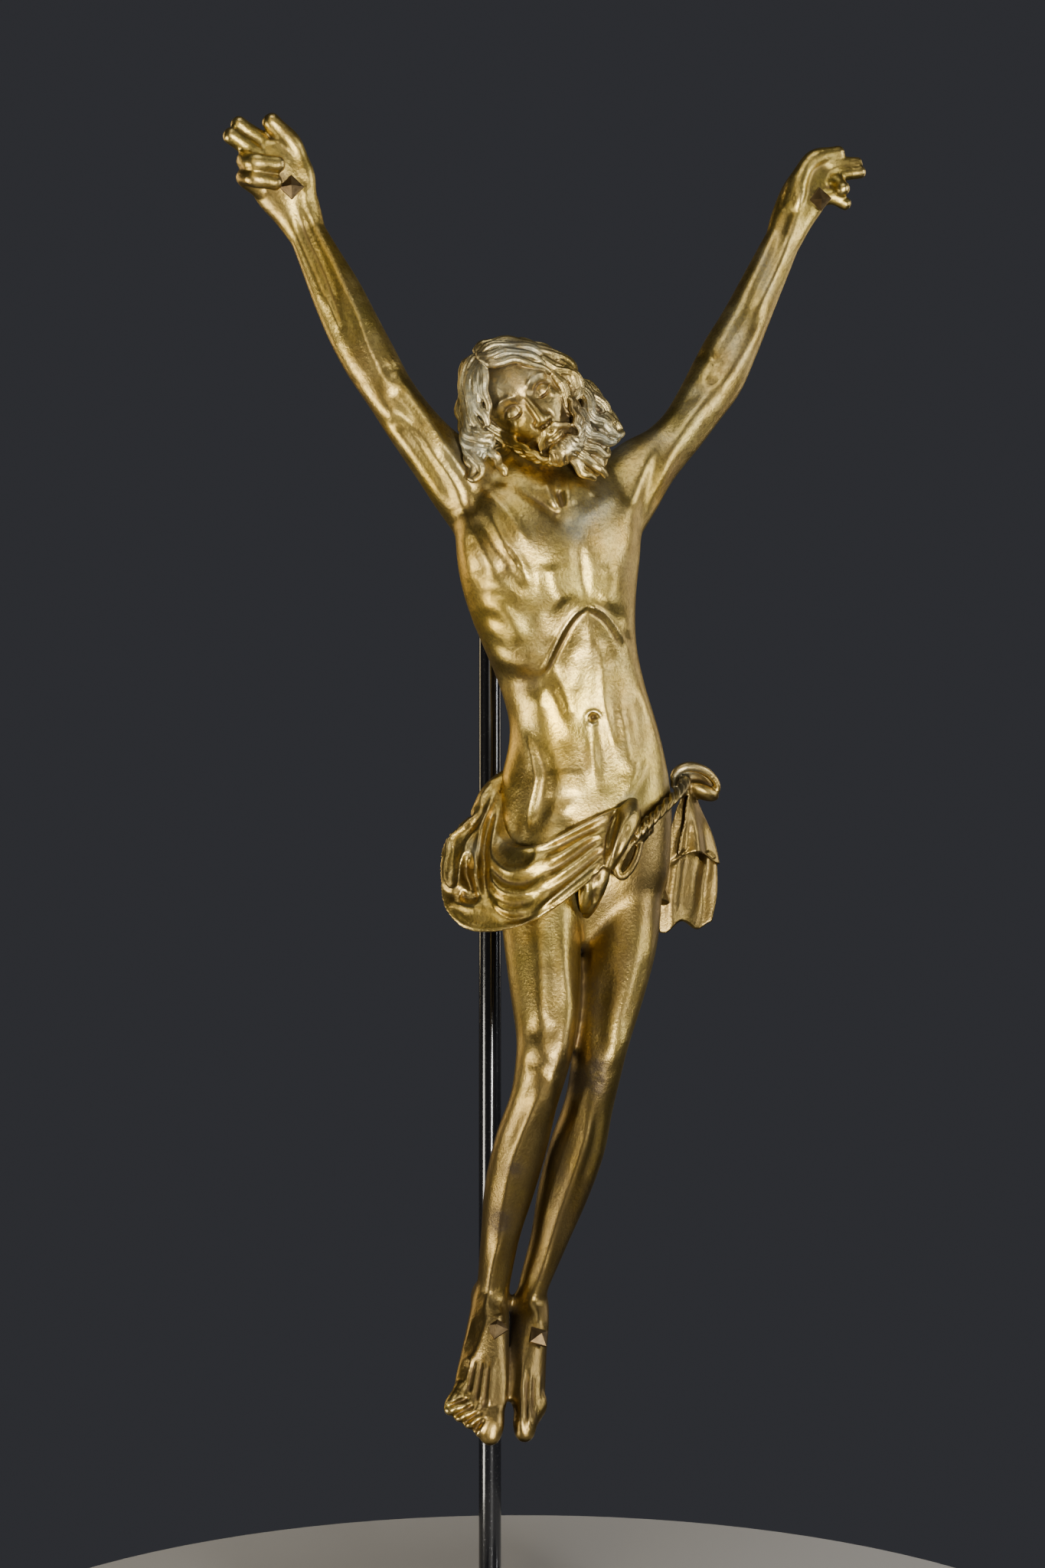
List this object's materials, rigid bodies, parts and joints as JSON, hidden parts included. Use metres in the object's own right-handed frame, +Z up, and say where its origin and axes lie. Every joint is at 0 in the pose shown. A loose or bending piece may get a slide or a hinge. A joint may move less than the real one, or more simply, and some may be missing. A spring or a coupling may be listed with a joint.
{
  "type": "crucifix corpus figure",
  "caption": "Cast bronze figure of a crucified man with raised arms and a knotted loincloth, held by a bent black rod on a low plate.",
  "frame": {"origin": "middle of the stand plate's underside", "axes": "+Z up, the figure faces -Y, its own left side is +X"},
  "size_m": [0.2348, 0.116, 0.5368],
  "materials": {
    "bronze": "cast bronze, once gilt, worn bright on the ridges and brown in the hollows",
    "nail_bronze": "filed bronze, darker than the figure",
    "black_gloss": "smooth black gloss paint on steel"
  },
  "bodies": {
    "root": {"corpus": "bronze", "nail_right_hand": "nail_bronze", "nail_left_hand": "nail_bronze", "nail_right_foot": "nail_bronze", "nail_left_foot": "nail_bronze", "stand_rod": "black_gloss", "stand_base": "black_gloss"}
  },
  "joints": []
}
